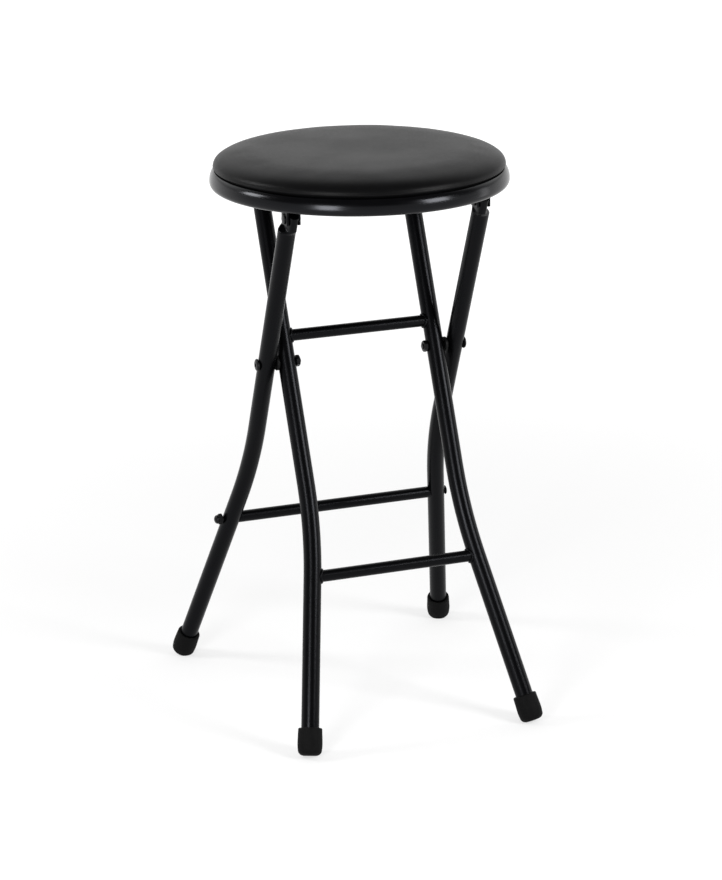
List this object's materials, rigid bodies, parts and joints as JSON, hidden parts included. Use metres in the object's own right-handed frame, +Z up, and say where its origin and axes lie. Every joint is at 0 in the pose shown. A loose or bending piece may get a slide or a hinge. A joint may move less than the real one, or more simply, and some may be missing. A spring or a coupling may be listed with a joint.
{
  "type": "folding bar stool",
  "caption": "Folding stool with a round padded seat on two crossed tube frames joined at side pivots; the seat tips up as the frames close.",
  "frame": {"origin": "on the floor, under the middle of the feet", "axes": "+Z up, +X along the rungs, -Y towards the front, where the seat hinges on the outer frame"},
  "size_m": [0.3392, 0.3616, 0.6083],
  "materials": {
    "frame_paint": "semi-gloss black powder coat on steel tube",
    "rim_paint": "gloss black paint on pressed steel",
    "vinyl": "black upholstery vinyl, fine grain, satin",
    "rubber": "moulded black rubber, matte",
    "nylon": "moulded black nylon",
    "black_steel": "black zinc plate",
    "plywood": "raw plywood",
    "foam": "upholstery foam"
  },
  "bodies": {
    "outer_frame": {"outer_leg_left": "frame_paint", "outer_leg_right": "frame_paint", "outer_rung": "frame_paint", "rung_bolt": "black_steel", "rung_cap_nut": "black_steel", "pivot_bolt_left": "black_steel", "pivot_bolt_right": "black_steel", "pivot_nut_left": "black_steel", "pivot_nut_right": "black_steel", "pivot_spacer_left": "nylon", "pivot_spacer_right": "nylon", "foot_rear_left": "rubber", "foot_rear_right": "rubber"},
    "inner_frame": {"inner_leg_left": "frame_paint", "inner_leg_right": "frame_paint", "inner_upper_rung": "frame_paint", "inner_lower_rung": "frame_paint", "inner_top_bar": "frame_paint", "leg_plug_left": "nylon", "leg_plug_right": "nylon", "foot_front_left": "rubber", "foot_front_right": "rubber"},
    "seat": {"seat_pan": "rim_paint", "seat_board": "plywood", "seat_foam": "foam", "seat_cover": "vinyl", "seat_bracket_left": "frame_paint", "seat_bracket_right": "frame_paint", "seat_rivet_left": "black_steel", "seat_rivet_right": "black_steel", "rear_saddle_left": "nylon", "rear_saddle_right": "nylon", "bracket_screw_front_left": "black_steel", "bracket_screw_rear_left": "black_steel", "bracket_screw_front_right": "black_steel", "bracket_screw_rear_right": "black_steel", "saddle_screw_left": "black_steel", "saddle_screw_right": "black_steel", "board_screw_right": "black_steel", "board_screw_rear": "black_steel", "board_screw_left": "black_steel", "board_screw_front": "black_steel"}
  },
  "joints": [
    {"name": "frame_fold", "type": "hinge", "parent": "outer_frame", "child": "inner_frame", "pos_m": [0, 0, 0.3819], "axis": [1, 0, 0], "range_deg": [0, 44]},
    {"name": "seat_tilt", "type": "hinge", "parent": "outer_frame", "child": "seat", "pos_m": [0, -0.07914, 0.5575], "axis": [1, 0, 0], "range_deg": [0, 114.3]}
  ],
  "couplings": [
    {"joint": "seat_tilt", "follows": "frame_fold", "ratio": 2.5968}
  ]
}
